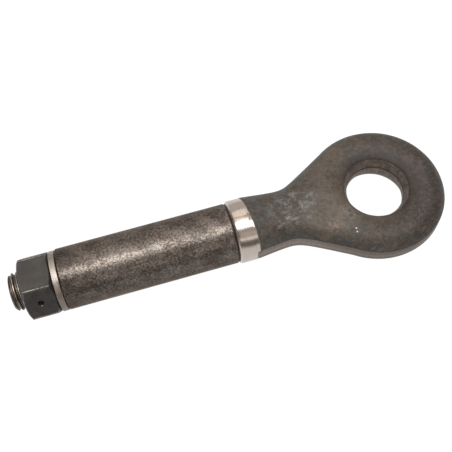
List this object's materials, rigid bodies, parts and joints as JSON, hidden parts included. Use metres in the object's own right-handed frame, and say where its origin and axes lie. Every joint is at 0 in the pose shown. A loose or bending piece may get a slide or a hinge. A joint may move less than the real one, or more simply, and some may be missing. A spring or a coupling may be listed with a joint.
{
  "type": "swivel tow eye",
  "caption": "Forged ring eye on a turned shank that swivels in a weld-in sleeve, held by a thick washer and a pinned hexagon nut.",
  "frame": {"origin": "centre of the eye's bore, on the ring's middle plane", "axes": "+Z along the bore, square to the ring; -X along the shank towards the nut; +Y across the ring"},
  "size_m": [0.3484, 0.11, 0.0504],
  "materials": {
    "forged_steel": "dark forging scale, turned bright at the collar and thread",
    "scaled_tube": "mottled mill scale",
    "bright_steel": "turned",
    "black_oxide": "black oxide",
    "spring_steel": "oiled spring steel"
  },
  "bodies": {
    "sleeve": {"sleeve_tube": "scaled_tube"},
    "eye": {"tow_eye": "forged_steel", "thrust_washer": "bright_steel", "lock_nut": "black_oxide", "spring_pin": "spring_steel"}
  },
  "joints": [
    {"name": "eye_swivel", "type": "hinge", "parent": "sleeve", "child": "eye", "pos_m": [-0.1874, 0, 0], "axis": [1, 0, 0], "continuous": true}
  ]
}
